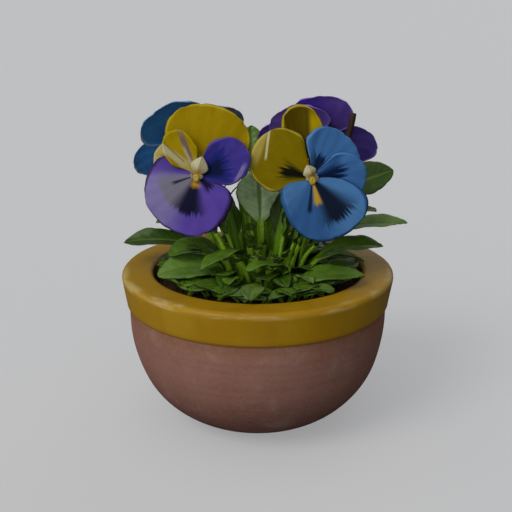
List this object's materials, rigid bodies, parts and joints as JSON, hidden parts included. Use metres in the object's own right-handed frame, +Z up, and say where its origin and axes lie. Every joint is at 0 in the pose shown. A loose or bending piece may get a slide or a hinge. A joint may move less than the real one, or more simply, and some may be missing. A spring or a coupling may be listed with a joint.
{
  "type": "potted pansy planter",
  "caption": "Round clay bowl planter with a thick glazed collar, filled with soil and planted with a clump of long green leaves and large two-coloured pansy blooms on hooked stalks.",
  "frame": {"origin": "middle of the bowl's flat foot, on the surface it stands on", "axes": "+Z up; -Y is the front, which the two large two-coloured blooms face; +X to the right as seen from the front"},
  "size_m": [0.1686, 0.16, 0.1949],
  "materials": {
    "clay": "matte",
    "glaze": "gloss",
    "soil": "matte",
    "leaf_green": "satin",
    "stem_green": "satin",
    "petal_yellow": "satin",
    "petal_purple": "satin",
    "petal_blue": "satin",
    "petal_orange": "matte"
  },
  "bodies": {
    "root": {"bloom_back_left_calyx": "leaf_green", "bloom_back_left_eye": "petal_orange", "bloom_back_left_petal_lip": "petal_blue", "bloom_back_left_petal_side_left": "petal_purple", "bloom_back_left_petal_side_right": "petal_blue", "bloom_back_left_petal_top_left": "petal_purple", "bloom_back_left_petal_top_right": "petal_blue", "bloom_back_left_stem": "stem_green", "bloom_back_right_calyx": "leaf_green", "bloom_back_right_eye": "petal_orange", "bloom_back_right_petal_lip": "petal_purple", "bloom_back_right_petal_side_left": "petal_purple", "bloom_back_right_petal_side_right": "petal_purple", "bloom_back_right_petal_top_left": "petal_purple", "bloom_back_right_petal_top_right": "petal_purple", "bloom_back_right_stem": "stem_green", "bloom_left_calyx": "leaf_green", "bloom_left_eye": "petal_orange", "bloom_left_petal_lip": "petal_purple", "bloom_left_petal_side_left": "petal_yellow", "bloom_left_petal_side_right": "petal_purple", "bloom_left_petal_top": "petal_yellow", "bloom_left_petal_top_folded": "petal_yellow", "bloom_left_stem": "stem_green", "bloom_right_calyx": "leaf_green", "bloom_right_eye": "petal_orange", "bloom_right_petal_lip": "petal_blue", "bloom_right_petal_side_left": "petal_yellow", "bloom_right_petal_side_right": "petal_blue", "bloom_right_petal_top": "petal_blue", "bloom_right_petal_top_folded": "petal_yellow", "bloom_right_stem": "stem_green", "leaf_back": "leaf_green", "leaf_back_far_right": "leaf_green", "leaf_back_inner": "leaf_green", "leaf_back_left": "leaf_green", "leaf_back_mid_left": "leaf_green", "leaf_back_right": "leaf_green", "leaf_blade_right": "leaf_green", "leaf_centre": "leaf_green", "leaf_centre_back": "leaf_green", "leaf_centre_left": "leaf_green", "leaf_front_left": "leaf_green", "leaf_front_low": "leaf_green", "leaf_front_mid": "leaf_green", "leaf_front_right": "leaf_green", "leaf_front_right_low": "leaf_green", "leaf_inner_left": "leaf_green", "leaf_left": "leaf_green", "leaf_left_back": "leaf_green", "leaf_left_front": "leaf_green", "leaf_left_low": "leaf_green", "leaf_left_mid": "leaf_green", "leaf_right": "leaf_green", "leaf_right_back": "leaf_green", "leaf_right_high": "leaf_green", "leaf_right_mid": "leaf_green", "leaf_right_tall": "leaf_green", "pot": "clay", "soil": "soil"}
  },
  "joints": []
}
